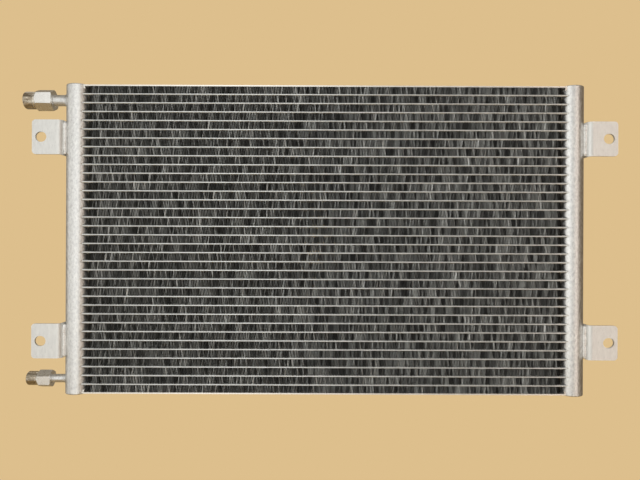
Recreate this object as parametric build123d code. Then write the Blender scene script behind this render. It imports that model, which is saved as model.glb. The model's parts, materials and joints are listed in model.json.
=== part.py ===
from build123d import *
import math
import os

# Parallel flow condenser: two round headers joined by flat tubes, with folded fins between the tubes.
# It stands upright, front towards -Y. The origin is at the middle of the four bracket slots, on the front
# faces of the flanges. Sizes are in millimetres.

# Core
tube_count = 34
tube_pitch = 10.0
tube_depth = 18.0
tube_thickness = 2.0
tube_edge_chamfer = 0.7
tube_wall = 0.4
tube_reach = 0.8  # how far the corners of a tube's end stand inside the header's bore

# Headers
header_radius = 12.5
header_wall = 1.8
header_length = 350.0
header_x = 284.0  # from the middle of the core to each header's axis
groove_depth = 1.0
groove_half_width = 3.4
groove_end_angle = 62.0  # degrees round from the middle of the slot side, where a groove runs out

# End caps and pass baffles
cap_rim = 1.5
cap_plug = 5.0
cap_wall = 1.2
cap_edge_radius = 1.2
baffle_thickness = 2.0
last_tubes_of_passes = (12, 21, 28, 34)  # counted from the top tube

# Fin strips
fin_thickness = 0.35
fin_half_length = 270.5
fin_taper_start = 264.0  # where a strip's corners begin to slant, to clear the round headers
fin_end_half_depth = 2.5  # half of what is left of a strip's depth at its very end
fin_legs = 40  # a real strip has about 354, only 0.1 thick

# Side plates
plate_thickness = 1.5
plate_half_length = 274.7
plate_lip_height = 4.5
plate_lip_run = 2.4  # how far the lip comes back towards the fins

# Brackets
bracket_z = 115.0
bracket_height = 39.0
bracket_thickness = 3.0
bracket_front = -15.0  # front face of a flange, from the middle plane of the core
bracket_bend_radius = 5.9  # outside of the bend
bracket_tip_x = 330.0
bracket_foot_back = 3.0
bracket_corner_radius = 4.0
slot_x = 320.0
slot_length = 12.4
slot_width = 11.4
weld_shortfall = 1.0  # how far a weld bead stops short of the bracket's upper and lower edges

# Fittings on the left header: a thread, a hexagon and a stub pipe on one axis along X
fittings = {
    "inlet": {
        "z": 159.0,
        "pipe_radius": 6.35,
        "pipe_wall": 1.4,
        "thread_radius": 10.0,
        "bore_radius": 7.2,
        "tip_x": -344.0,
        "hex_x": -330.3,
        "hex_end_x": -311.2,
        "hex_flats": 21.6,
        "hex_turn": 6.0,  # degrees that a flat is turned up from facing the front
    },
    "outlet": {
        "z": -160.0,
        "pipe_radius": 4.76,
        "pipe_wall": 1.2,
        "thread_radius": 7.94,
        "bore_radius": 5.6,
        "tip_x": -339.9,
        "hex_x": -326.9,
        "hex_end_x": -312.0,
        "hex_flats": 17.5,
        "hex_turn": -8.0,
    },
}
thread_chamfer = 1.2
thread_relief_depth = 1.1
thread_relief_length = 1.6
bore_chamfer = 0.8
hex_cone_length = 1.8  # length of the cone that breaks the hexagon's corners at the thread end
neck_overlap = 1.0  # how far the thread's neck runs on inside the hexagon
corner_margin = 0.1  # by which the cone's wide end clears the hexagon's corners
cut_margin = 1.0  # by which a cut runs past the faces it opens
pipe_reach = 5.0  # how far a stub pipe goes into its hexagon
pipe_seat_length = 3.0  # narrow part of the passage that a stub pipe stops against
pipe_end_x = -291.5  # inside the header's bore

# Worked out from the sizes above
bore_radius = header_radius - header_wall
half_depth = tube_depth / 2
core_top = (tube_count - 1) * tube_pitch / 2
fin_height = tube_pitch - tube_thickness
tube_half_length = header_x - math.sqrt(bore_radius**2 - half_depth**2) + tube_reach
plate_top = core_top + tube_thickness / 2 + fin_height + plate_thickness


def tube_z(number):
    """Height of a flat tube, counted from 1 at the top."""
    return core_top - (number - 1) * tube_pitch


def tube_section():
    """Outline of a flat tube, with its edges crowned."""
    outline = Rectangle(tube_depth, tube_thickness)
    return chamfer(outline.vertices(), length=tube_edge_chamfer)


def flat_tube():
    """An extruded flat tube, open at both ends."""
    passage = Rectangle(tube_depth - 2 * tube_thickness, tube_thickness - 2 * tube_wall)
    section = tube_section() - passage
    return extrude(Plane.YZ * section, tube_half_length, both=True)


def header_groove():
    """The ring cut away at one tube. It is set off the header's axis, so it runs out on both sides."""
    run = header_radius * (1 - math.cos(math.radians(groove_end_angle)))
    offset = (2 * header_radius * groove_depth - groove_depth**2) / (2 * (run - groove_depth))
    bottom = header_radius - groove_depth
    outline = Polyline(
        (bottom, 0, 0),
        (bottom + 2 * groove_depth, 0, 2 * groove_half_width),
        (bottom + 2 * groove_depth, 0, -2 * groove_half_width),
        close=True,
    )
    return revolve(make_face(outline), Axis((-offset, 0, 0), (0, 0, 1)))


def header():
    """A header on the Z axis, with its slot side towards +X: ridges between grooves, a slot in each."""
    tube = Cylinder(header_radius, header_length) - Cylinder(bore_radius, header_length)
    groove = header_groove()
    slot = extrude(Plane.YZ * tube_section(), header_radius + groove_depth)
    heights = [tube_z(number) for number in range(1, tube_count + 1)]
    tube -= [Pos(0, 0, z) * groove for z in heights]
    tube -= [Pos(0, 0, z) * slot for z in heights]
    return tube


def end_cap():
    """A cap for the top of a header: a rim over the header's end and a cup inside its bore."""
    rim = Pos(0, 0, cap_rim / 2) * Cylinder(header_radius, cap_rim)
    rim = fillet(rim.edges().group_by(Axis.Z)[-1], cap_edge_radius)
    cup = Pos(0, 0, -cap_plug / 2) * Cylinder(bore_radius, cap_plug)
    hollow = Pos(0, 0, -cap_plug / 2) * Cylinder(bore_radius - cap_wall, cap_plug)
    return rim + cup - hollow


def fin_strip():
    """One folded strip, its folds touching the tubes above and below, slanted at its four corners."""
    step = 2 * fin_half_length / fin_legs
    rise = fin_thickness * math.hypot(step, fin_height) / step  # the sheet's height in a cut across it
    top = fin_height / 2
    upper_side = []
    lower_side = []
    for i in range(fin_legs + 1):
        x = -fin_half_length + i * step
        at_top = i % 2 == 0
        upper_side.append((x, top if at_top else rise - top))
        lower_side.append((x, top - rise if at_top else -top))
    sheet = make_face(Polyline(*upper_side, *reversed(lower_side), close=True))
    corner = (fin_half_length, fin_end_half_depth)
    shoulder = (fin_taper_start, half_depth)
    half_plan = [corner, shoulder, (-shoulder[0], shoulder[1]), (-corner[0], corner[1])]
    plan = make_face(Polyline(*half_plan, *[(x, -y) for x, y in reversed(half_plan)], close=True))
    return extrude(Plane.XZ * sheet, half_depth, both=True) & extrude(plan, fin_height, both=True)


def side_plate():
    """The top side plate: a flat strip seated on both headers, its ends folded back in a lip."""
    under = plate_top - plate_thickness
    strip = Pos(0, 0, plate_top - plate_thickness / 2) * Box(2 * plate_half_length, tube_depth, plate_thickness)
    tip_x = plate_half_length - plate_lip_run
    tip_z = plate_top - plate_lip_height
    outline = Polyline(
        (plate_half_length - plate_thickness, under),
        (plate_half_length, plate_top),
        (plate_half_length, under),
        (tip_x + plate_thickness, tip_z),
        (tip_x, tip_z),
        close=True,
    )
    lip = extrude(Plane.XZ * make_face(outline), half_depth, both=True)
    plate = strip + lip + mirror(lip, Plane.YZ)
    for side in (-1, 1):
        plate -= Pos(side * header_x, 0, 0) * Cylinder(header_radius, 2 * header_length)
    return plate


def bracket():
    """The right upper bracket at Z = 0: a foot along the header, a bend and a flange with one slot."""
    inner = header_x + header_radius
    front = bracket_front
    back = front + bracket_thickness
    bend = bracket_bend_radius
    inside = bend - bracket_thickness
    outline = Curve() + [
        Line((inner, bracket_foot_back), (inner, front + bend)),
        CenterArc((inner + bend, front + bend), bend, 180, 90),
        Line((inner + bend, front), (bracket_tip_x, front)),
        Line((bracket_tip_x, front), (bracket_tip_x, back)),
        Line((bracket_tip_x, back), (inner + bend, back)),
        CenterArc((inner + bend, front + bend), inside, 180, 90),
        Line((inner + bracket_thickness, front + bend), (inner + bracket_thickness, bracket_foot_back)),
        Line((inner + bracket_thickness, bracket_foot_back), (inner, bracket_foot_back)),
    ]
    plate = extrude(make_face(outline), bracket_height / 2, both=True)
    tips = plate.edges().filter_by(Axis.Y).group_by(Axis.X)[-1]
    plate = fillet(tips, bracket_corner_radius)
    slot = Plane.XZ * Pos(slot_x, 0) * SlotOverall(slot_length, slot_width)
    return plate - extrude(slot, -2 * front, both=True) + bracket_weld()


def bracket_weld():
    """The weld beads in front of and behind the line where the foot touches the header."""
    inner = header_x + header_radius
    foot = bracket_foot_back
    front_bead = Polyline(
        (inner - 2.3, -7.1), (inner - 0.1, -10.4), (inner, -10.2), (inner, -0.5), (inner - 2, -0.5), close=True
    )
    back_bead = Polyline((inner - 1.7, 6.2), (inner + 1.5, foot), (inner, foot), (inner - 0.6, 1.5), close=True)
    beads = Part()
    for outline in (front_bead, back_bead):
        beads += extrude(make_face(outline), bracket_height / 2 - weld_shortfall, both=True)
    return beads - Pos(header_x, 0, 0) * Cylinder(header_radius, 2 * bracket_height)


def turned(*points):
    """A solid of revolution about X, from (x, radius) points."""
    outline = Polyline(*[(x, 0, radius) for x, radius in points], close=True)
    return revolve(make_face(outline), Axis.X)


def fitting(size):
    """A hexagon with a male thread, bored through, with a socket for its stub pipe."""
    thread = size["thread_radius"]
    bore = size["bore_radius"]
    pipe = size["pipe_radius"]
    tip, start, end = size["tip_x"], size["hex_x"], size["hex_end_x"]
    socket = end - pipe_reach
    corner = size["hex_flats"] / math.sqrt(3)
    flat = size["hex_flats"] / 2
    neck = thread - thread_relief_depth
    shank = turned(
        (tip, 0),
        (tip, thread - thread_chamfer),
        (tip + thread_chamfer, thread),
        (start - thread_relief_length - thread_relief_depth, thread),
        (start - thread_relief_length, neck),
        (start + neck_overlap, neck),
        (start + neck_overlap, 0),
    )
    hexagon = Plane.YZ * RegularPolygon(corner, 6, rotation=30 - size["hex_turn"])
    hexagon = Pos(start, 0, 0) * extrude(hexagon, end - start)
    rim = corner + corner_margin
    cone = turned((start, 0), (start, flat), (start + hex_cone_length, rim), (end, rim), (end, 0))
    seat = socket - pipe_seat_length
    passage = turned(
        (tip - cut_margin, 0),
        (tip - cut_margin, bore + bore_chamfer + cut_margin),
        (tip + bore_chamfer, bore),
        (seat, bore),
        (seat, pipe - size["pipe_wall"]),
        (socket, pipe - size["pipe_wall"]),
        (socket, pipe),
        (end + cut_margin, pipe),
        (end + cut_margin, 0),
    )
    return shank + (hexagon & cone) - passage


def stub_pipe(size):
    """A plain pipe from the fitting's socket through the header's wall."""
    start = size["hex_end_x"] - pipe_reach
    outer = size["pipe_radius"]
    inner = outer - size["pipe_wall"]
    return turned((start, inner), (start, outer), (pipe_end_x, outer), (pipe_end_x, inner))


def save(shape, name):
    """Write one part, moved from the core's middle plane to the plane of the flanges."""
    export_step(Pos(0, -bracket_front, 0) * shape, f"parts/{name}.step")


def main():
    os.makedirs("parts", exist_ok=True)

    right_header = Pos(header_x, 0, 0) * mirror(header(), Plane.YZ)
    left_header = mirror(right_header, Plane.YZ)
    for name, size in fittings.items():
        place = Pos(0, 0, size["z"])
        start, radius = size["hex_end_x"], size["pipe_radius"]
        left_header -= place * turned((start, 0), (start, radius), (pipe_end_x, radius), (pipe_end_x, 0))
        save(place * stub_pipe(size), f"{name}_stub_pipe")
        save(place * fitting(size), f"{name}_fitting")
    save(left_header, "left_header")
    save(right_header, "right_header")

    top_cap = Pos(0, 0, header_length / 2) * end_cap()
    bottom_cap = mirror(top_cap, Plane.XY)
    upper_bracket = Pos(0, 0, bracket_z) * bracket()
    lower_bracket = mirror(upper_bracket, Plane.XY)
    for side, x in (("left", -header_x), ("right", header_x)):
        save(Pos(x, 0, 0) * top_cap, f"{side}_header_top_cap")
        save(Pos(x, 0, 0) * bottom_cap, f"{side}_header_bottom_cap")
        for level, part in (("upper", upper_bracket), ("lower", lower_bracket)):
            save(part if side == "right" else mirror(part, Plane.YZ), f"{side}_{level}_bracket")

    # The baffle below each pass is in the header that the pass flows into, left and right in turn
    for number, last_tube in enumerate(last_tubes_of_passes[:-1], start=1):
        x = header_x if number == 2 else -header_x
        baffle = Cylinder(bore_radius, baffle_thickness)
        save(Pos(x, 0, tube_z(last_tube) - tube_pitch / 2) * baffle, f"pass_baffle_{number}")

    tube = flat_tube()
    for number in range(1, tube_count + 1):
        save(Pos(0, 0, tube_z(number)) * tube, f"flat_tube_{number:02d}")

    # One strip above each tube and one more below the last, a group for each pass
    strip = fin_strip()
    first = 1
    for number, last in enumerate(last_tubes_of_passes, start=1):
        strips = [Pos(0, 0, tube_z(above) + tube_pitch / 2) * strip for above in range(first, last + 1)]
        if last == tube_count:
            strips.append(Pos(0, 0, tube_z(last) - tube_pitch / 2) * strip)
        save(Compound(children=strips), f"fin_strips_pass_{number}")
        first = last + 1

    top_plate = side_plate()
    save(top_plate, "top_side_plate")
    save(mirror(top_plate, Plane.XY), "bottom_side_plate")


main()
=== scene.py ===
import json
import math

import bmesh
import bpy
import numpy as np
from mathutils import Matrix, Vector


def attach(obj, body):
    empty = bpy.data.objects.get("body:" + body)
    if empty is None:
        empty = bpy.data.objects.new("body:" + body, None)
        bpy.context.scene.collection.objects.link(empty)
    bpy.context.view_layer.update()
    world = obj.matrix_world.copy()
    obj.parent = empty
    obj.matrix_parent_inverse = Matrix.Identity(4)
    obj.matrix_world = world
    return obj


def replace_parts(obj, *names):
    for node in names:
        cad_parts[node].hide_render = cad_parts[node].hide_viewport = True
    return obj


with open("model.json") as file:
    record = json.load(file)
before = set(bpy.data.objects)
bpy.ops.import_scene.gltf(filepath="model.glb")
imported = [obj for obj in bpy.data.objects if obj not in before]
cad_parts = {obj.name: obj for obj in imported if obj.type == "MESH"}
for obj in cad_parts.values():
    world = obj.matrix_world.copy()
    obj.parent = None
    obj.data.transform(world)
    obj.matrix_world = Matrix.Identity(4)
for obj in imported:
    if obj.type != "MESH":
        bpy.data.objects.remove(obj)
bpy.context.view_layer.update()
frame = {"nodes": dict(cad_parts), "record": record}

midY = 0.015  # the core's middle plane; the bracket flanges face the front at Y = 0
print("frame loaded:", len(frame["nodes"]), "nodes")


# Small helpers for meshes

def addPiece(name, verts, faces, material, smooth=False):
    mesh = bpy.data.meshes.new(name)
    mesh.from_pydata([tuple(v) for v in verts], [], [tuple(f) for f in faces])
    mesh.validate()
    bm = bmesh.new()
    bm.from_mesh(mesh)
    bmesh.ops.recalc_face_normals(bm, faces=bm.faces)
    bm.to_mesh(mesh)
    bm.free()
    return dressPiece(bpy.data.objects.new(name, mesh), material, smooth)


def dressPiece(piece, material, smooth=False):
    bpy.context.scene.collection.objects.link(piece)
    piece.data.materials.clear()
    piece.data.materials.append(material)
    for face in piece.data.polygons:
        face.use_smooth = smooth
    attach(piece, "root")
    return piece


def addRings(name, points, material, closeRows=False, sharpAngle=35):
    # points: rows x columns x 3, each row a closed ring; the last row joins the first where closeRows is set
    rows, columns = points.shape[:2]
    number = np.arange(rows * columns).reshape(rows, columns)
    here = number if closeRows else number[:-1]
    beyond = np.roll(number, -1, axis=0) if closeRows else number[1:]
    quads = np.stack([here, np.roll(here, -1, axis=1), np.roll(beyond, -1, axis=1), beyond], axis=2).reshape(-1, 4)
    faces = [tuple(int(v) for v in quad) for quad in quads]
    if not closeRows:
        faces += [tuple(int(v) for v in number[0]), tuple(int(v) for v in number[-1])]
    piece = addPiece(name, points.reshape(-1, 3).tolist(), faces, material, smooth=True)
    piece.data.set_sharp_from_angle(angle=math.radians(sharpAngle))
    return piece


# Shader helpers

def linearTone(red, green, blue):  # from the 0 to 255 values of a screen colour
    def one(value):
        value /= 255
        return value / 12.92 if value <= 0.04045 else ((value + 0.055) / 1.055) ** 2.4
    return (one(red), one(green), one(blue), 1)


def newGroup(name, inputs, outputs):
    group = bpy.data.node_groups.new(name, "ShaderNodeTree")
    for label, kind, value in inputs:
        socket = group.interface.new_socket(label, in_out="INPUT", socket_type=kind)
        socket.default_value = value
    for label, kind in outputs:
        group.interface.new_socket(label, in_out="OUTPUT", socket_type=kind)
    start = group.nodes.new("NodeGroupInput")
    end = group.nodes.new("NodeGroupOutput")
    return group, start.outputs, end.inputs


def maths(tree, operation, first, second=None, third=None, clamp=False):
    node = tree.nodes.new("ShaderNodeMath")
    node.operation = operation
    node.use_clamp = clamp
    for socket, value in zip(node.inputs, (first, second, third)):
        if value is None:
            continue
        if isinstance(value, (int, float)):
            socket.default_value = value
        else:
            tree.links.new(value, socket)
    return node.outputs[0]


def buildMottleGroup():  # soft cloudy patches, stretched along the axes by the Stretch vector
    group, given, made = newGroup(
        "mottle",
        [
            ("Scale", "NodeSocketFloat", 60.0),
            ("Stretch", "NodeSocketVector", (1, 1, 1)),
            ("Contrast", "NodeSocketFloat", 1.0),
            ("Detail", "NodeSocketFloat", 3.0),
        ],
        [("Mask", "NodeSocketFloat")],
    )
    place = group.nodes.new("ShaderNodeTexCoord")
    stretched = group.nodes.new("ShaderNodeVectorMath")
    stretched.operation = "MULTIPLY"
    group.links.new(place.outputs["Object"], stretched.inputs[0])
    group.links.new(given["Stretch"], stretched.inputs[1])
    noise = group.nodes.new("ShaderNodeTexNoise")
    group.links.new(stretched.outputs[0], noise.inputs["Vector"])
    group.links.new(given["Scale"], noise.inputs["Scale"])
    group.links.new(given["Detail"], noise.inputs["Detail"])
    centred = maths(group, "SUBTRACT", noise.outputs["Fac"], 0.5)
    spread = maths(group, "MULTIPLY", centred, given["Contrast"])
    group.links.new(maths(group, "ADD", spread, 0.5, clamp=True), made["Mask"])
    return group


def buildGrainGroup():  # fine raised grain, as a height for a Bump node and as a mask
    group, given, made = newGroup(
        "metalGrain",
        [
            ("Scale", "NodeSocketFloat", 900.0),
            ("Stretch", "NodeSocketVector", (1, 1, 1)),
            ("Pits", "NodeSocketFloat", 0.3),
        ],
        [("Height", "NodeSocketFloat"), ("Pit Mask", "NodeSocketFloat")],
    )
    place = group.nodes.new("ShaderNodeTexCoord")
    stretched = group.nodes.new("ShaderNodeVectorMath")
    stretched.operation = "MULTIPLY"
    group.links.new(place.outputs["Object"], stretched.inputs[0])
    group.links.new(given["Stretch"], stretched.inputs[1])
    noise = group.nodes.new("ShaderNodeTexNoise")
    noise.inputs["Detail"].default_value = 4.0
    noise.inputs["Roughness"].default_value = 0.65
    group.links.new(stretched.outputs[0], noise.inputs["Vector"])
    group.links.new(given["Scale"], noise.inputs["Scale"])
    cells = group.nodes.new("ShaderNodeTexVoronoi")
    group.links.new(stretched.outputs[0], cells.inputs["Vector"])
    group.links.new(maths(group, "MULTIPLY", given["Scale"], 0.45), cells.inputs["Scale"])
    pit = maths(group, "SUBTRACT", 1.0, maths(group, "MULTIPLY", cells.outputs["Distance"], 3.0), clamp=True)
    pit = maths(group, "MULTIPLY", pit, given["Pits"])
    group.links.new(maths(group, "SUBTRACT", noise.outputs["Fac"], pit), made["Height"])
    group.links.new(pit, made["Pit Mask"])
    return group


def buildLegGroup():  # a tone that changes at random from one fin leg to the next and from strip to strip; it paints light and shade, lighter legs for lit leg edges and darker legs for the shade deep in the fin channels
    group, given, made = newGroup(
        "legPaintedLightAndShade",
        [
            ("Across", "NodeSocketFloat", 480.0),
            ("Up", "NodeSocketFloat", 100.0),
            ("Sharpness", "NodeSocketFloat", 2.0),
            ("Painted Shadow Start", "NodeSocketFloat", 0.2645),
        ],
        [("Mask", "NodeSocketFloat"), ("Painted End Shadow Mask", "NodeSocketFloat")],
    )
    place = group.nodes.new("ShaderNodeTexCoord")
    parts = group.nodes.new("ShaderNodeSeparateXYZ")
    group.links.new(place.outputs["Object"], parts.inputs[0])
    joined = group.nodes.new("ShaderNodeCombineXYZ")
    group.links.new(maths(group, "FLOOR", maths(group, "MULTIPLY", parts.outputs[0], given["Across"])), joined.inputs[0])
    strip = maths(group, "FLOOR", maths(group, "ADD", maths(group, "MULTIPLY", parts.outputs[2], given["Up"]), 0.5))
    group.links.new(maths(group, "MULTIPLY", strip, 7.31), joined.inputs[2])
    noise = group.nodes.new("ShaderNodeTexWhiteNoise")
    noise.noise_dimensions = "3D"
    group.links.new(joined.outputs[0], noise.inputs["Vector"])
    group.links.new(maths(group, "POWER", noise.outputs["Value"], given["Sharpness"]), made["Mask"])
    # from this distance outwards the fin legs get a painted shadow: near-black colour for the shaded gap between the
    # fins' ends and the headers
    beyond = maths(group, "SUBTRACT", maths(group, "ABSOLUTE", parts.outputs[0]), given["Painted Shadow Start"])
    group.links.new(maths(group, "MULTIPLY", beyond, 900.0, clamp=True), made["Painted End Shadow Mask"])
    return group


groups = {"mottle": buildMottleGroup(), "grain": buildGrainGroup(), "leg": buildLegGroup()}


def placeGroup(tree, name, **values):
    node = tree.nodes.new("ShaderNodeGroup")
    node.node_tree = groups[name]
    for label, value in values.items():
        node.inputs[label].default_value = value
    return node.outputs


def mixColours(tree, mask, first, second, kind="MIX"):
    node = tree.nodes.new("ShaderNodeMix")
    node.data_type = "RGBA"
    node.blend_type = kind
    for socket, value in ((node.inputs[0], mask), (node.inputs[6], first), (node.inputs[7], second)):
        if isinstance(value, (tuple, int, float)):
            socket.default_value = value
        else:
            tree.links.new(value, socket)
    return node.outputs[2]


def buildMetal(name, look):
    material = bpy.data.materials.new(name)
    material.use_nodes = True
    tree = material.node_tree
    shader = tree.nodes["Principled BSDF"]
    shader.inputs["Metallic"].default_value = look["metallic"]
    cloud = placeGroup(tree, "mottle", Scale=look["cloudScale"], Stretch=look["stretch"], Contrast=look["contrast"])
    if "legContrast" in look:
        # for the fins the random leg mix is partly random tone and partly painted light and shade: lit leg edges
        # against shaded channels
        leg = placeGroup(tree, "leg", Sharpness=look["legContrast"])
        colour = mixColours(tree, leg["Mask"], look["dark"], look["light"])
        # painted shadow on the fins' ends, darkening the gap next to the headers
        colour = mixColours(tree, leg["Painted End Shadow Mask"], colour, look["paintedEndShadow"])
    else:
        colour = mixColours(tree, cloud["Mask"], look["dark"], look["light"])
    grain = placeGroup(tree, "grain", Scale=look["grainScale"], Stretch=look["grainStretch"], Pits=look["pits"])
    colour = mixColours(tree, grain["Pit Mask"], colour, look["pitColour"])
    tree.links.new(colour, shader.inputs["Base Color"])
    roughness = maths(tree, "MULTIPLY_ADD", cloud["Mask"], look["roughSpread"], look["rough"] - look["roughSpread"] / 2)
    tree.links.new(roughness, shader.inputs["Roughness"])
    bump = tree.nodes.new("ShaderNodeBump")
    bump.inputs["Strength"].default_value = look["bump"]
    bump.inputs["Distance"].default_value = look["bumpDepth"]
    tree.links.new(grain["Height"], bump.inputs["Height"])
    tree.links.new(bump.outputs["Normal"], shader.inputs["Normal"])
    return material


metalLooks = {
    "headerAluminium": dict(
        metallic=1.0, light=(0.90, 0.905, 0.90, 1), dark=(0.66, 0.665, 0.665, 1), pitColour=(0.42, 0.41, 0.40, 1),
        cloudScale=420.0, stretch=(1, 1, 0.6), contrast=2.8, rough=0.41, roughSpread=0.14,
        grainScale=1100.0, grainStretch=(1, 1, 0.7), pits=0.4, bump=0.55, bumpDepth=0.0003,
    ),
    "tubeAluminium": dict(
        metallic=1.0, light=(0.84, 0.865, 0.87, 1), dark=(0.70, 0.72, 0.725, 1), pitColour=(0.5, 0.5, 0.5, 1),
        cloudScale=120.0, stretch=(1, 1, 1), contrast=2.0, rough=0.46, roughSpread=0.1,
        grainScale=1200.0, grainStretch=(0.2, 1, 1), pits=0.15, bump=0.2, bumpDepth=0.0001,
    ),
    "plateAluminium": dict(
        metallic=1.0, light=(0.93, 0.90, 0.85, 1), dark=(0.80, 0.77, 0.72, 1), pitColour=(0.6, 0.57, 0.52, 1),
        cloudScale=90.0, stretch=(1, 1, 1), contrast=2.0, rough=0.46, roughSpread=0.1,
        grainScale=1200.0, grainStretch=(0.2, 1, 1), pits=0.15, bump=0.2, bumpDepth=0.0001,
    ),
    # The fin colours are painted shade: the bright aluminium is darkened to near black for the shade deep in the fin
    # channels, and the lighter grey mixed in leg by leg stands for lit leg edges.
    "finAluminium": dict(
        metallic=0.35, light=(0.66, 0.675, 0.665, 1), dark=(0.075, 0.077, 0.075, 1), pitColour=(0.2, 0.2, 0.19, 1),
        # the near-black end colour is a painted shadow for the gap between the fins' ends and the headers
        paintedEndShadow=(0.06, 0.06, 0.057, 1), cloudScale=60.0, stretch=(1, 1, 1), contrast=1.5, rough=0.5,
        roughSpread=0.12, legContrast=1.4, grainScale=1800.0, grainStretch=(1, 1, 1), pits=0.2, bump=0.15,
        bumpDepth=0.0001,
    ),
    "bracketAluminium": dict(
        metallic=1.0, light=(0.86, 0.865, 0.855, 1), dark=(0.74, 0.745, 0.735, 1), pitColour=(0.5, 0.5, 0.49, 1),
        cloudScale=260.0, stretch=(1, 1, 0.35), contrast=2.4, rough=0.5, roughSpread=0.1,
        grainScale=1300.0, grainStretch=(1, 1, 0.25), pits=0.3, bump=0.4, bumpDepth=0.0002,
    ),
    "weldAluminium": dict(
        metallic=1.0, light=(0.97, 0.97, 0.96, 1), dark=(0.80, 0.80, 0.79, 1), pitColour=(0.5, 0.49, 0.47, 1),
        cloudScale=500.0, stretch=(1, 1, 1), contrast=2.4, rough=0.42, roughSpread=0.16,
        grainScale=1500.0, grainStretch=(1, 1, 1), pits=0.2, bump=0.3, bumpDepth=0.0002,
    ),
    "fittingAluminium": dict(
        metallic=1.0, light=(0.92, 0.92, 0.90, 1), dark=(0.78, 0.775, 0.755, 1), pitColour=(0.5, 0.48, 0.44, 1),
        cloudScale=380.0, stretch=(1, 1, 1), contrast=2.2, rough=0.30, roughSpread=0.1,
        grainScale=1600.0, grainStretch=(3, 1, 1), pits=0.2, bump=0.2, bumpDepth=0.0001,
    ),
    # The thread's darker, browner colours are painted shade for the shadow within the thread, not a different metal.
    "threadAluminiumPaintedShade": dict(
        metallic=1.0, light=(0.78, 0.74, 0.66, 1), dark=(0.42, 0.37, 0.30, 1), pitColour=(0.2, 0.17, 0.13, 1),
        cloudScale=500.0, stretch=(0.2, 1, 1), contrast=3.0, rough=0.16, roughSpread=0.08,
        grainScale=1600.0, grainStretch=(1, 1, 1), pits=0.2, bump=0.15, bumpDepth=0.0001,
    ),
}
metals = {name: buildMetal(name, look) for name, look in metalLooks.items()}
slotMetals = {
    "header_aluminium": "headerAluminium",
    "tube_aluminium": "tubeAluminium",
    "fin_aluminium": "finAluminium",
    "bracket_aluminium": "bracketAluminium",
    "fitting_aluminium": "fittingAluminium",
}
for row in frame["record"]["subparts"]:
    node = frame["nodes"][row["node"]]
    choice = slotMetals[row["material_slot"]]
    if "side_plate" in row["node"]:
        choice = "plateAluminium"
    node.data.materials.clear()
    node.data.materials.append(metals[choice])
print("materials made:", len(metals))


# Folded fins, at their real pitch

fins = {
    "halfLength": 0.2705,
    "taperStart": 0.264,  # from here a strip gets less deep, to clear the round headers
    "endDepth": 0.5,  # share of the depth that is left at the very end
    "height": 0.008,
    "halfDepth": 0.009,
    "legs": 354,
    "sheet": 0.00011,
    "lean": 0.00045,  # how far each leg leans to either side, so that folds are narrower than the gaps
    "planY": (-0.009, -0.0078, 0.0, 0.0078, 0.009),  # the legs' zigzag seen from above
    "planX": (0.0, 0.0, -0.0019, 0.0, 0.0),
    "wander": 0.00007,
    "sway": 0.00028,  # how far a leg's front edge strays to a side
    "bentShare": 0.08,
    "bend": 0.0008,
    "passes": ((1, 12), (13, 21), (22, 28), (29, 35)),
}


def stripHeight(number):  # strip 1 lies above tube 1, strip 35 below tube 34
    return 0.170 - 0.010 * (number - 1)


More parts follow.
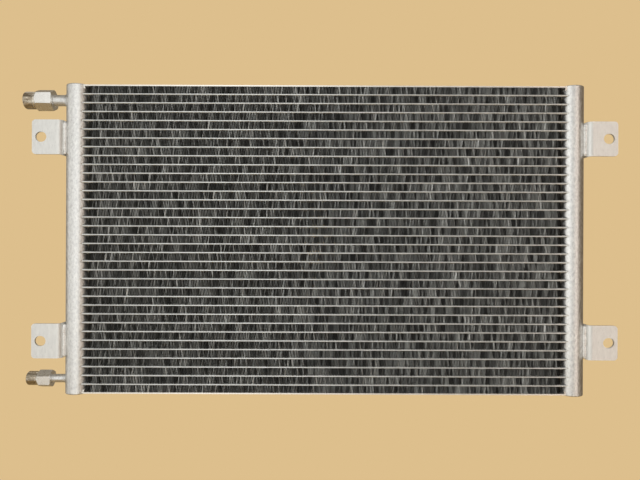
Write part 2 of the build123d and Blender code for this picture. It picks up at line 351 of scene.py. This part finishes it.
def buildFins(name, first, last, seed):
    rng = np.random.default_rng(seed)
    legs, stations = fins["legs"], len(fins["planY"])
    strips = last - first + 1
    half, sheet = fins["height"] / 2, fins["sheet"] / 2
    step = 2 * fins["halfLength"] / legs
    lean = fins["lean"]
    index = np.arange(legs)
    middles = -fins["halfLength"] + (index + 0.5) * step
    wander = rng.normal(0, fins["wander"], (strips, legs, 2))
    sign = np.where(index % 2 == 0, 1.0, -1.0)
    x = np.zeros((strips, legs, 2, 2))  # strip, leg, bottom or top, side A or B
    z = np.zeros((strips, legs, 2, 2))
    for end, way in ((0, -1.0), (1, 1.0)):
        centre = middles + way * sign * lean + wander[:, :, end]
        x[:, :, end, 0] = centre - sign * sheet
        x[:, :, end, 1] = centre + sign * sheet
    z[:, :, 0, 0] = -half + 2 * sheet
    z[:, :, 0, 1] = -half
    z[:, :, 1, 0] = half
    z[:, :, 1, 1] = half - 2 * sheet
    planX = np.zeros((strips, legs, stations)) + np.array(fins["planX"])
    bent = rng.random((strips, legs)) < fins["bentShare"]
    push = np.where(bent, rng.uniform(-1, 1, (strips, legs)) * fins["bend"], rng.normal(0, fins["sway"], (strips, legs)))
    planX[:, :, 0] += push
    planX[:, :, 1] -= push * 0.5
    verts = np.zeros((strips, legs, 2, 2, stations, 3))
    reach = np.clip((np.abs(middles) - fins["taperStart"]) / (fins["halfLength"] - fins["taperStart"]), 0, 1)
    depth = 1 - reach * (1 - fins["endDepth"])
    planX *= depth[None, :, None] ** 2
    verts[..., 0] = np.clip(x[..., None] + planX[:, :, None, None, :], -fins["halfLength"], fins["halfLength"])
    verts[..., 1] = midY + (np.array(fins["planY"]) * depth[:, None])[None, :, None, None, :]
    heights = np.array([stripHeight(n) for n in range(first, last + 1)])
    verts[..., 2] = z[..., None] + heights[:, None, None, None, None]
    number = np.arange(strips * legs * 4 * stations).reshape(strips, legs, 2, 2, stations)

    faces = []

    def quads(a, b, c, d):
        faces.append(np.stack([a.ravel(), b.ravel(), c.ravel(), d.ravel()], axis=1))

    low, high = number[:, :, 0], number[:, :, 1]
    even, odd = slice(0, None, 2), slice(1, None, 2)
    for side in (0, 1):
        for legSet, turn in ((even, side == 0), (odd, side == 1)):
            a, b = low[:, legSet, side, :-1], low[:, legSet, side, 1:]
            c, d = high[:, legSet, side, 1:], high[:, legSet, side, :-1]
            quads(a, d, c, b) if turn else quads(a, b, c, d)
        # folds: even legs join the next one at the top, odd legs at the bottom
        a, b = high[:, 0:legs - 1:2, side, :-1], high[:, 0:legs - 1:2, side, 1:]
        c, d = high[:, 1:legs:2, side, 1:], high[:, 1:legs:2, side, :-1]
        quads(a, b, c, d) if side else quads(a, d, c, b)
        a, b = low[:, 1:legs - 1:2, side, :-1], low[:, 1:legs - 1:2, side, 1:]
        c, d = low[:, 2:legs:2, side, 1:], low[:, 2:legs:2, side, :-1]
        quads(a, d, c, b) if side else quads(a, b, c, d)
    for station, flip in ((0, False), (stations - 1, True)):
        for legSet, turn in ((even, False), (odd, True)):
            a, b = low[:, legSet, 0, station], low[:, legSet, 1, station]
            c, d = high[:, legSet, 1, station], high[:, legSet, 0, station]
            quads(a, d, c, b) if turn != flip else quads(a, b, c, d)
        a, b = high[:, 0:legs - 1:2, 0, station], high[:, 0:legs - 1:2, 1, station]
        c, d = high[:, 1:legs:2, 1, station], high[:, 1:legs:2, 0, station]
        quads(a, d, c, b) if flip else quads(a, b, c, d)
        a, b = low[:, 1:legs - 1:2, 0, station], low[:, 1:legs - 1:2, 1, station]
        c, d = low[:, 2:legs:2, 1, station], low[:, 2:legs:2, 0, station]
        quads(a, b, c, d) if flip else quads(a, d, c, b)
    for leg, flip in ((0, False), (legs - 1, False)):  # the strip's two ends
        a, b = number[:, leg, 0, 0, :-1], number[:, leg, 0, 0, 1:]
        c, d = number[:, leg, 0, 1, 1:], number[:, leg, 0, 1, :-1]
        if leg == 0:
            quads(a, b, c, d)
        else:
            quads(d, c, b, a)
    allFaces = np.concatenate(faces)
    mesh = bpy.data.meshes.new(name)
    mesh.vertices.add(number.size)
    mesh.vertices.foreach_set("co", verts.reshape(-1).astype(np.float32))
    mesh.loops.add(allFaces.size)
    mesh.loops.foreach_set("vertex_index", allFaces.reshape(-1).astype(np.int32))
    mesh.polygons.add(len(allFaces))
    mesh.polygons.foreach_set("loop_start", np.arange(0, allFaces.size, 4, dtype=np.int32))
    mesh.update(calc_edges=True)
    return dressPiece(bpy.data.objects.new(name, mesh), metals["finAluminium"])


for number, (first, last) in enumerate(fins["passes"], start=1):
    strip = buildFins(f"folded_fins_pass_{number}", first, last, 40 + number)
    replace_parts(strip, f"fin_strips_pass_{number}")
print("folded fins made")


# Fittings: a threaded shank, a hexagon, and the passage through both

fittings = {
    "inlet": {
        "z": 0.159, "pipe": 0.00635, "pipeBore": 0.00495, "thread": 0.010, "bore": 0.0072, "pitch": 0.0015,
        "tip": -0.344, "hexStart": -0.3303, "hexEnd": -0.3112, "flats": 0.0216, "turn": 6.0,
    },
    "outlet": {
        "z": -0.160, "pipe": 0.00476, "pipeBore": 0.00356, "thread": 0.00794, "bore": 0.0056, "pitch": 0.0014,
        "tip": -0.3399, "hexStart": -0.3269, "hexEnd": -0.3120, "flats": 0.0175, "turn": -8.0,
    },
}
fittingSteps = {"around": 96, "perThread": 10, "threadDepth": 0.00085, "chamfer": 0.0012, "relief": 0.0016,
                "reliefDepth": 0.0011, "cone": 0.0018, "backCone": 0.0009, "socket": 0.005, "seat": 0.003,
                "boreChamfer": 0.0008}


def buildFitting(name, size):
    steps = fittingSteps
    turn = math.radians(size["turn"])
    angles = np.arange(steps["around"]) / steps["around"] * 2 * math.pi + turn  # from the front, upwards
    sector = (angles - turn + math.pi / 6) % (math.pi / 3) - math.pi / 6
    flat, corner = size["flats"] / 2, size["flats"] / math.sqrt(3)
    hexRadius = flat / np.cos(sector)
    thread, tip, start, end = size["thread"], size["tip"], size["hexStart"], size["hexEnd"]
    neck = thread - steps["reliefDepth"]
    rows = []

    def row(x, radius):
        rows.append((x, np.broadcast_to(radius, angles.shape)))

    row(tip, min(size["bore"] + steps["boreChamfer"], thread - steps["chamfer"]))
    threadEnd = start - steps["relief"] - steps["reliefDepth"]
    count = int(round((threadEnd - tip) / size["pitch"] * steps["perThread"]))
    for i in range(count + 1):
        x = tip + (threadEnd - tip) * i / count
        phase = (x / size["pitch"] + angles / (2 * math.pi)) % 1.0
        flank = np.clip(np.abs(phase - 0.5) * 2 * 1.25 - 0.12, 0, 1)  # crest and root are a little flat
        crest = thread - steps["threadDepth"] * flank
        limit = thread - max(0.0, steps["chamfer"] - (x - tip))
        floor = neck + 0.00005
        row(x, np.maximum(np.minimum(crest, limit), floor if x > tip + 0.002 else 0))
    row(start - steps["relief"], neck)
    row(start, neck)
    row(start, flat * 0.985)
    for i in range(9):
        share = i / 8
        row(start + steps["cone"] * share, np.minimum(hexRadius, flat + (corner + 0.0001 - flat) * share))
    for i in range(7):
        share = i / 6
        limit = corner + 0.0001 - (corner - flat) * 0.6 * share
        row(end - steps["backCone"] * (1 - share), np.minimum(hexRadius, limit))
    row(end, size["pipe"] + 0.0011)
    row(end - 0.0006, size["pipe"] + 0.00002)
    socket = end - steps["socket"]
    row(socket, size["pipe"] + 0.00002)
    row(socket, size["pipeBore"])
    row(socket - steps["seat"], size["pipeBore"])
    row(socket - steps["seat"], size["bore"])
    row(tip + steps["boreChamfer"], size["bore"])
    points = np.zeros((len(rows), len(angles), 3))
    for i, (x, radius) in enumerate(rows):
        points[i, :, 0] = x
        points[i, :, 1] = midY - radius * np.cos(angles)
        points[i, :, 2] = size["z"] + radius * np.sin(angles)
    fitting = addRings(name, points, metals["fittingAluminium"], closeRows=True, sharpAngle=24)
    fitting.data.materials.append(metals["threadAluminiumPaintedShade"])
    # the thread faces take the thread material with its painted shade
    for face in fitting.data.polygons:
        if face.center.x < start - 0.0002:
            face.material_index = 1
    return fitting


headerShape = {"x": 0.284, "radius": 0.0125}
brazeRing = {"height": 0.0022, "length": 0.0026, "around": 48, "steps": 6}


def buildBrazeRing(name, size):  # the fillet between a stub pipe and the header's round side
    ring, pipe = brazeRing, size["pipe"]
    angles = np.arange(ring["around"]) / ring["around"] * 2 * math.pi
    wave = 1 + 0.12 * np.sin(3 * angles + 1.0) + 0.08 * np.sin(7 * angles)

    def headerX(radius):
        return -headerShape["x"] - np.sqrt(headerShape["radius"] ** 2 - (radius * np.cos(angles)) ** 2)

    rows = [(headerX(pipe) + 0.0006, np.full(angles.shape, pipe - 0.0002))]
    rows.append((headerX(pipe) - ring["length"] * wave, np.full(angles.shape, pipe - 0.0001)))
    for i in range(ring["steps"] + 1):
        share = i / ring["steps"]
        radius = pipe + ring["height"] * wave * (1 - math.cos(share * math.pi / 2))
        rows.append((headerX(radius) - ring["length"] * wave * (1 - math.sin(share * math.pi / 2)), radius))
    rows.append((headerX(rows[-1][1]) + 0.0006, rows[-1][1]))
    points = np.zeros((len(rows), len(angles), 3))
    for i, (x, radius) in enumerate(rows):
        points[i, :, 0] = x
        points[i, :, 1] = midY - radius * np.cos(angles)
        points[i, :, 2] = size["z"] + radius * np.sin(angles)
    return addRings(name, points, metals["headerAluminium"], closeRows=True, sharpAngle=60)


for name, size in fittings.items():
    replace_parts(buildFitting(f"{name}_threaded_fitting", size), f"{name}_fitting")
    buildBrazeRing(f"{name}_braze_ring", size)
print("fittings made")


# Weld beads between the headers and the brackets

weldBeads = {
    "front": {"x": 0.2957, "y": 0.0066, "radius": 0.0026, "halfLength": 0.0190},
    "back": {"x": 0.2963, "y": 0.0189, "radius": 0.0018, "halfLength": 0.0185},
}
weldShape = {"heights": (0.115, -0.115), "around": 20, "steps": 110, "ripple": 0.0019, "rippleDepth": 0.16}


def buildWeld(name, side, height, bead, seed):
    rng = np.random.default_rng(seed)
    steps = weldShape["steps"]
    along = np.linspace(-1, 1, steps)
    z = height + along * bead["halfLength"]
    phase = np.cumsum(1 + 0.35 * rng.standard_normal(steps).clip(-1.5, 1.5)) * (z[1] - z[0]) / weldShape["ripple"]
    ripple = np.abs(np.sin(math.pi * phase))
    drift = np.interp(np.arange(steps), np.arange(0, steps + 11, 11), rng.normal(0, 1, len(range(0, steps + 11, 11))))
    radius = bead["radius"] * (1 + weldShape["rippleDepth"] * (ripple - 0.6) + 0.07 * drift)
    radius *= np.sqrt(np.clip(1.02 - np.abs(along) ** 10, 0.05, 1))
    angles = np.arange(weldShape["around"]) / weldShape["around"] * 2 * math.pi
    points = np.zeros((steps, len(angles), 3))
    points[:, :, 0] = side * (bead["x"] + 0.00015 * drift[:, None] + radius[:, None] * np.cos(angles))
    points[:, :, 1] = bead["y"] + 0.92 * radius[:, None] * np.sin(angles)
    bulge = 0.0006 * np.sin(angles)[None, :]  # each ripple is a little crescent
    points[:, :, 2] = z[:, None] + bulge * (1 - np.abs(along)[:, None] ** 6)
    return addRings(name, points, metals["weldAluminium"], sharpAngle=50)


seed = 60
for side, sideName in ((-1, "left"), (1, "right")):
    for height, levelName in zip(weldShape["heights"], ("upper", "lower")):
        for place, bead in weldBeads.items():
            seed += 1
            buildWeld(f"{sideName}_{levelName}_{place}_weld_bead", side, height, bead, seed)
print("weld beads made")


# Floor, world, lamps and camera

studio = {
    "background": linearTone(221, 191, 141),
    "glossyShare": 0.12,  # how much of that background the metal shows, over the room that lights it
    "floorZ": -0.7,
    "floorRadius": 1.4,
    "fadeFrom": 0.1,
    "fadeTo": 0.5,
    "frontToBack": (
        (0.0, (0.34, 0.335, 0.325, 1)),
        (0.25, (0.33, 0.325, 0.31, 1)),
        (0.45, (0.27, 0.26, 0.24, 1)),
        (0.57, (0.20, 0.18, 0.15, 1)),
        (1.0, (0.23, 0.20, 0.155, 1)),
    ),
    "leftToRight": (
        (0.0, (1.0, 1.0, 0.99, 1)),
        (0.5, (0.9, 0.9, 0.9, 1)),
        (0.8, (0.7, 0.65, 0.6, 1)),
        (1.0, (0.4, 0.31, 0.23, 1)),
    ),
}


def fillRamp(ramp, stops):
    ramp.elements[0].position, ramp.elements[0].color = stops[0]
    ramp.elements[1].position, ramp.elements[1].color = stops[-1]
    for position, colour in stops[1:-1]:
        ramp.elements.new(position).color = colour


def buildWorld():
    world = bpy.data.worlds.new("studioWorld")
    bpy.context.scene.world = world
    world.use_nodes = True
    tree = world.node_tree
    shader = tree.nodes["Background"]
    place = tree.nodes.new("ShaderNodeTexCoord")
    parts = tree.nodes.new("ShaderNodeSeparateXYZ")
    tree.links.new(place.outputs["Generated"], parts.inputs[0])
    depth = tree.nodes.new("ShaderNodeValToRGB")  # from the front (0) to the back (1)
    fillRamp(depth.color_ramp, studio["frontToBack"])
    tree.links.new(maths(tree, "MULTIPLY_ADD", parts.outputs[1], 0.5, 0.5), depth.inputs[0])
    across = tree.nodes.new("ShaderNodeValToRGB")  # from the left (0) to the right (1)
    fillRamp(across.color_ramp, studio["leftToRight"])
    tree.links.new(maths(tree, "MULTIPLY_ADD", parts.outputs[0], 0.5, 0.5), across.inputs[0])
    room = mixColours(tree, 1.0, depth.outputs[0], across.outputs[0], "MULTIPLY")
    rays = tree.nodes.new("ShaderNodeLightPath")
    seen = maths(tree, "MAXIMUM", rays.outputs["Is Camera Ray"], rays.outputs["Is Transmission Ray"])
    glossy = maths(tree, "MULTIPLY", rays.outputs["Is Glossy Ray"], studio["glossyShare"])
    seen = maths(tree, "MAXIMUM", seen, glossy)
    tree.links.new(mixColours(tree, seen, room, studio["background"]), shader.inputs["Color"])


def buildFloor():
    bm = bmesh.new()
    bmesh.ops.create_circle(bm, cap_ends=True, segments=96, radius=studio["floorRadius"])
    mesh = bpy.data.meshes.new("studioFloor")
    bm.to_mesh(mesh)
    bm.free()
    floor = bpy.data.objects.new("studioFloor", mesh)
    floor.location = (0, midY, studio["floorZ"])
    bpy.context.scene.collection.objects.link(floor)
    material = bpy.data.materials.new("studioFloorPaint")
    material.use_nodes = True
    tree = material.node_tree
    shader = tree.nodes["Principled BSDF"]
    shader.inputs["Base Color"].default_value = studio["background"]
    shader.inputs["Roughness"].default_value = 0.9
    shader.inputs["Specular IOR Level"].default_value = 0.0
    glow = tree.nodes.new("ShaderNodeEmission")
    glow.inputs["Color"].default_value = studio["background"]
    place = tree.nodes.new("ShaderNodeTexCoord")
    length = tree.nodes.new("ShaderNodeVectorMath")
    length.operation = "LENGTH"
    tree.links.new(place.outputs["Object"], length.inputs[0])
    span = studio["fadeTo"] - studio["fadeFrom"]
    far = maths(tree, "MULTIPLY", maths(tree, "SUBTRACT", length.outputs["Value"], studio["fadeFrom"]), 1 / span, clamp=True)
    rays = tree.nodes.new("ShaderNodeLightPath")
    seen = maths(tree, "MAXIMUM", rays.outputs["Is Camera Ray"], rays.outputs["Is Transmission Ray"])
    glossy = maths(tree, "MULTIPLY", rays.outputs["Is Glossy Ray"], studio["glossyShare"])
    seen = maths(tree, "MAXIMUM", seen, glossy)
    mix = tree.nodes.new("ShaderNodeMixShader")
    tree.links.new(maths(tree, "MULTIPLY", far, seen), mix.inputs[0])
    tree.links.new(shader.outputs[0], mix.inputs[1])
    tree.links.new(glow.outputs[0], mix.inputs[2])
    tree.links.new(mix.outputs[0], tree.nodes["Material Output"].inputs["Surface"])
    mesh.materials.append(material)


softboxes = {
    "wideBox": dict(place=(-0.20, -0.80, 0.04), size=(1.4, 1.4), glow=0.44, colour=(0.985, 1.0, 0.99)),
    "keyBox": dict(place=(-0.40, -0.55, 0.10), size=(0.36, 1.1), glow=0.32, colour=(0.985, 1.0, 0.985)),
    "nearBox": dict(place=(-0.12, -0.30, 0.04), size=(0.28, 0.8), glow=0.58, colour=(0.985, 1.0, 0.985)),
    "sideBox": dict(place=(-1.30, -0.40, 0.05), size=(0.9, 1.2), glow=0.55, colour=(0.985, 1.0, 0.985)),
    "warmStrip": dict(place=(0.55, -0.47, 0.02), size=(0.11, 1.2), glow=2.4, colour=(1.0, 0.86, 0.77)),
    "topBox": dict(place=(0.0, -0.1, 1.5), size=(1.2, 0.8), glow=0.35, colour=(1.0, 0.99, 0.97)),
    "rearBox": dict(place=(0.0, 1.3, 1.7), size=(1.4, 1.0), glow=0.6, colour=(1.0, 0.98, 0.95)),
}


def buildLamps():
    for name, box in softboxes.items():
        lamp = bpy.data.lights.new(name, "AREA")
        lamp.shape = "RECTANGLE"
        lamp.size, lamp.size_y = box["size"]
        lamp.color = box["colour"]
        lamp.energy = box["glow"] * math.pi * lamp.size * lamp.size_y
        holder = bpy.data.objects.new(name, lamp)
        holder.location = box["place"]
        holder.rotation_mode = "QUATERNION"
        holder.rotation_quaternion = (Vector((0, midY, 0)) - holder.location).to_track_quat("-Z", "Y")
        holder.visible_camera = False
        bpy.context.scene.collection.objects.link(holder)


viewpoint = {"place": (-0.0053, -0.685, -0.0001), "lens": 34.235, "roll": 0.22}


def buildCamera():
    camera = bpy.data.cameras.new("photoCamera")
    camera.lens = viewpoint["lens"]
    camera.sensor_width = 36.0
    camera.clip_start = 0.01
    holder = bpy.data.objects.new("photoCamera", camera)
    turn = Matrix.Rotation(math.radians(90), 4, "X") @ Matrix.Rotation(math.radians(viewpoint["roll"]), 4, "Z")
    holder.matrix_world = Matrix.Translation(viewpoint["place"]) @ turn
    bpy.context.scene.collection.objects.link(holder)
    bpy.context.scene.camera = holder


buildWorld()
buildFloor()
buildLamps()
buildCamera()
bpy.context.scene.view_settings.view_transform = "Standard"
print("stage, lamps and camera made")
